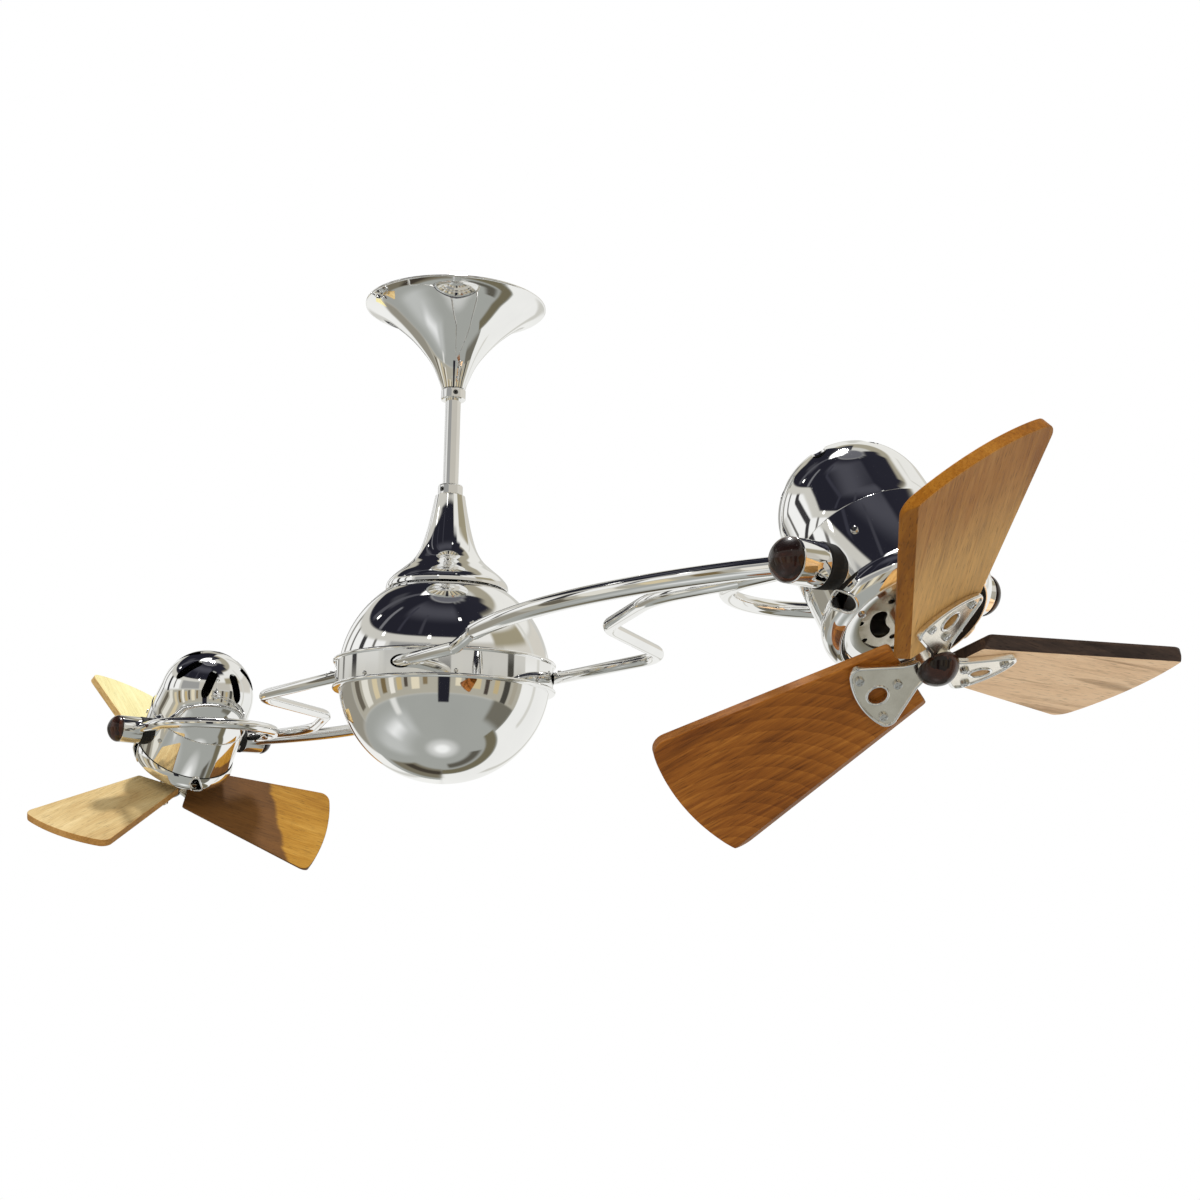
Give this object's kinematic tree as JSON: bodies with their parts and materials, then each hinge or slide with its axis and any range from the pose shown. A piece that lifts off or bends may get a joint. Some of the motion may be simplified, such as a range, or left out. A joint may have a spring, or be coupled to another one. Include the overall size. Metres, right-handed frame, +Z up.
{
  "type": "twin head ceiling fan",
  "caption": "Chrome ceiling fan: a ball on a downrod turns about the vertical and carries two tilting motor heads with wooden blades on bent tube arms.",
  "frame": {"origin": "centre of the ceiling bracket's top face, on the ceiling plane and the downrod's axis", "axes": "+Z up out of the ceiling face, +X along the arms to head A, +Y across them"},
  "size_m": [1.3506, 0.3276, 0.4715],
  "materials": {
    "chrome": "polished",
    "zinc_steel": "zinc plated",
    "dark_steel": "blackened",
    "bearing_steel": "ground",
    "copper_brass": "plain",
    "brown_plastic": "moulded",
    "cast_alloy": "cast, bright",
    "motor_steel": "laminated",
    "bronze": "sintered",
    "black_rubber": "matt",
    "dark_wood": "turned, gloss lacquer",
    "wood_red": "figured veneer, satin lacquer",
    "wood_gold": "figured veneer, satin lacquer",
    "wood_pale": "figured veneer, satin lacquer"
  },
  "bodies": {
    "hanger": {"ceiling_bracket": "zinc_steel", "hanger_ball": "dark_steel", "canopy": "chrome", "rod_collars": "chrome", "set_screws": "dark_steel", "downrod": "chrome", "bell_cover": "chrome", "spindle": "zinc_steel", "spindle_nut": "zinc_steel", "bearing_inner_races": "bearing_steel", "slip_rings": "copper_brass"},
    "carousel": {"upper_hemisphere": "chrome", "lower_hemisphere": "chrome", "equator_band": "chrome", "carrier": "cast_alloy", "bearing_outer_races": "bearing_steel", "brush_holder": "brown_plastic", "ball_and_arm_screws": "zinc_steel", "arc_tube_a": "chrome", "arc_tube_b": "chrome", "s_tube_a": "chrome", "s_tube_b": "chrome", "yoke_a": "chrome", "yoke_b": "chrome"},
    "head_a": {"rear_dome_a": "chrome", "mid_shell_a": "chrome", "front_cap_a": "chrome", "front_plate_a": "chrome", "stator_a": "motor_steel", "bushes_a": "bronze", "pivot_washers_a": "black_rubber", "pivot_bolts_a": "zinc_steel", "shell_screws_a": "zinc_steel"},
    "fan_a": {"rotor_a": "motor_steel", "blade_spider_a": "cast_alloy", "blade_1_a": "wood_pale", "blade_2_a": "wood_red", "blade_3_a": "wood_gold", "blade_screws_a": "zinc_steel", "finial_a": "dark_wood"},
    "clamp_near_a": {"knob_near_a": "dark_wood"},
    "clamp_far_a": {"knob_far_a": "dark_wood"},
    "head_b": {"rear_dome_b": "chrome", "mid_shell_b": "chrome", "front_cap_b": "chrome", "front_plate_b": "chrome", "stator_b": "motor_steel", "bushes_b": "bronze", "pivot_washers_b": "black_rubber", "pivot_bolts_b": "zinc_steel", "shell_screws_b": "zinc_steel"},
    "fan_b": {"rotor_b": "motor_steel", "blade_spider_b": "cast_alloy", "blade_1_b": "wood_pale", "blade_2_b": "wood_gold", "blade_3_b": "wood_gold", "blade_screws_b": "zinc_steel", "finial_b": "dark_wood"},
    "clamp_near_b": {"knob_near_b": "dark_wood"},
    "clamp_far_b": {"knob_far_b": "dark_wood"}
  },
  "joints": [
    {"name": "carousel_turn", "type": "hinge", "parent": "hanger", "child": "carousel", "pos_m": [0, 0, -0.316], "axis": [0, 0, 1], "continuous": true},
    {"name": "head_tilt_a", "type": "hinge", "parent": "carousel", "child": "head_a", "pos_m": [0.507, 0, -0.316], "axis": [0, -1, 0], "range_deg": [-33.3, 146.7]},
    {"name": "fan_spin_a", "type": "hinge", "parent": "head_a", "child": "fan_a", "pos_m": [0.507, 0, -0.316], "axis": [0.549, 0, -0.8358], "continuous": true},
    {"name": "clamp_near_turn_a", "type": "hinge", "parent": "head_a", "child": "clamp_near_a", "pos_m": [0.507, -0.08, -0.316], "axis": [0, -1, 0], "range_deg": [-20, 340]},
    {"name": "clamp_far_turn_a", "type": "hinge", "parent": "head_a", "child": "clamp_far_a", "pos_m": [0.507, 0.08, -0.316], "axis": [0, 1, 0], "range_deg": [-20, 340]},
    {"name": "head_tilt_b", "type": "hinge", "parent": "carousel", "child": "head_b", "pos_m": [-0.507, 0, -0.316], "axis": [0, 1, 0], "range_deg": [-42.5, 137.5]},
    {"name": "fan_spin_b", "type": "hinge", "parent": "head_b", "child": "fan_b", "pos_m": [-0.507, 0, -0.316], "axis": [-0.6756, 0, -0.7373], "continuous": true},
    {"name": "clamp_near_turn_b", "type": "hinge", "parent": "head_b", "child": "clamp_near_b", "pos_m": [-0.507, -0.08, -0.316], "axis": [0, -1, 0], "range_deg": [-20, 340]},
    {"name": "clamp_far_turn_b", "type": "hinge", "parent": "head_b", "child": "clamp_far_b", "pos_m": [-0.507, 0.08, -0.316], "axis": [0, 1, 0], "range_deg": [-20, 340]}
  ]
}
